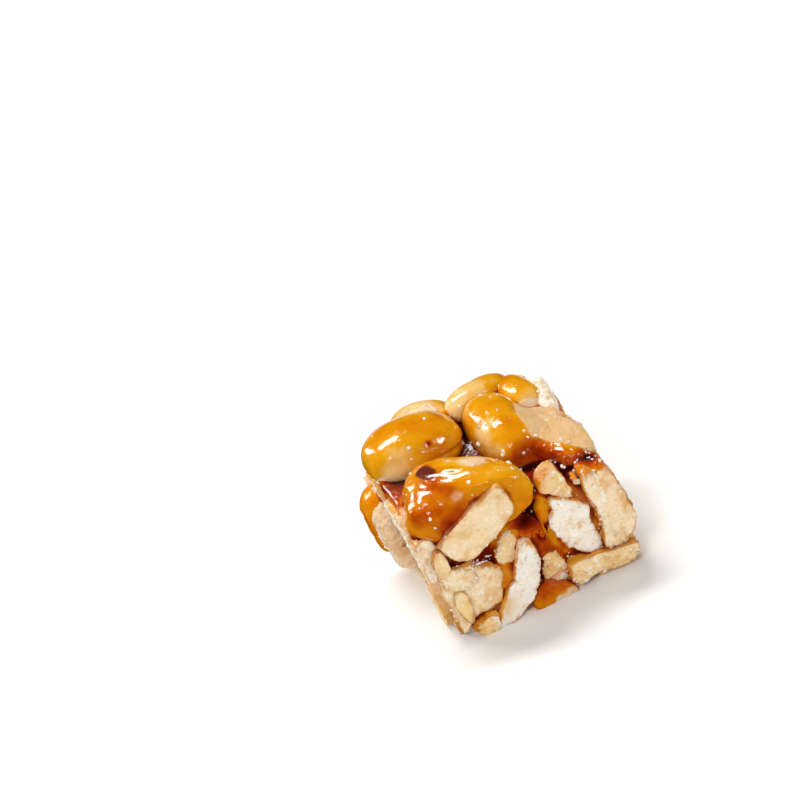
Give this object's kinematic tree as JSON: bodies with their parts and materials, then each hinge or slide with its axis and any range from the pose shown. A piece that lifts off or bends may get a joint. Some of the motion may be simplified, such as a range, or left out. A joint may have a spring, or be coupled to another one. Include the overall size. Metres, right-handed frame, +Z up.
{
  "type": "nut brittle piece",
  "caption": "A small rough cube of peanut brittle: kernels and halves under glossy amber caramel on top, pale knife-cut kernels on the sides",
  "frame": {"origin": "middle of the underside of the piece's bounding box", "axes": "+X along the longer side, +Y from the front cut to the back cut, +Z up out of the slab's uncut top"},
  "size_m": [0.0304, 0.0242, 0.023],
  "materials": {
    "caramel": "hard clear sugar caramel, amber where thin and dark red-brown where deep, very glossy",
    "cut_kernel": "cream cut peanut flesh, matt and crumbly",
    "coated_kernel": "peanut under a thin amber caramel film, glossy"
  },
  "bodies": {
    "root": {"nut_brittle": "caramel"}
  },
  "joints": []
}
